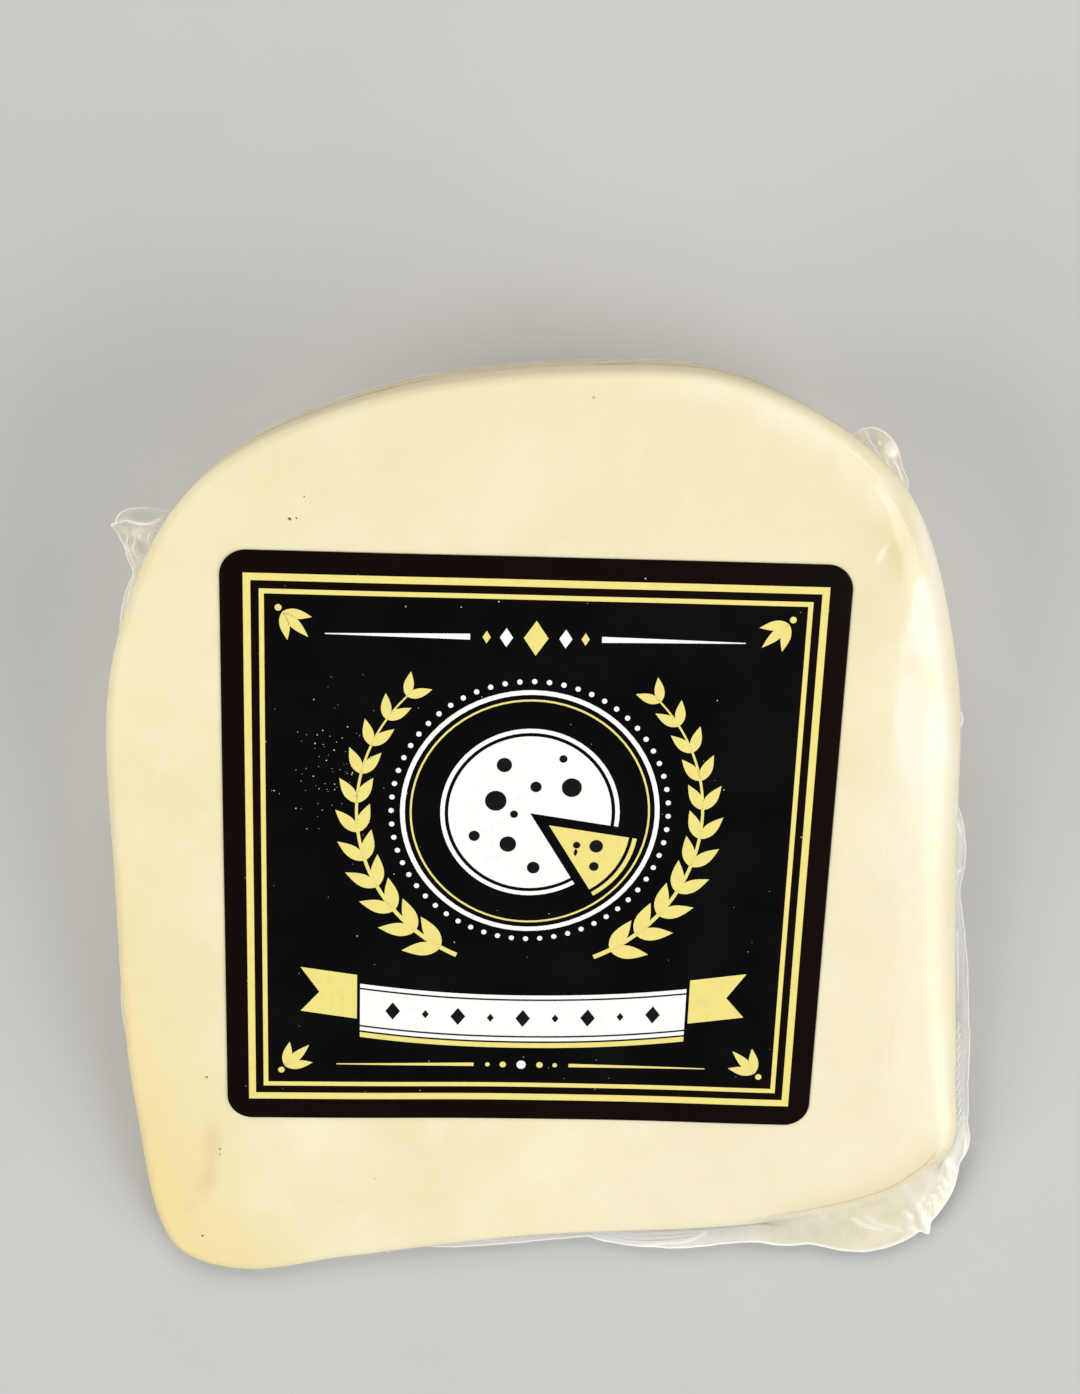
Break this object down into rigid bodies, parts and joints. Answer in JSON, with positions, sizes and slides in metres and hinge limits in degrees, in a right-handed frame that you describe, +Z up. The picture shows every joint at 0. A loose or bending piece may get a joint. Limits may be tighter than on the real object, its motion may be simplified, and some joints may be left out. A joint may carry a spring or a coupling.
{
  "type": "cheese wedge",
  "caption": "Wedge of pale goat gouda sealed in clear film, lying on one cut face, with a rounded rim, loose film ears at its corners and a square label.",
  "frame": {"origin": "middle of the underside's bounding box, on the surface the wedge lies on", "axes": "+Z up, +Y outward to the wheel's rim, +X across the wheel, to the right when the label is seen with the rim at the top"},
  "size_m": [0.1138, 0.1212, 0.0404],
  "materials": {
    "film_over_cheese": "gloss",
    "label": "satin"
  },
  "bodies": {
    "root": {"wrapped_wedge": "film_over_cheese", "label": "label"}
  },
  "joints": []
}
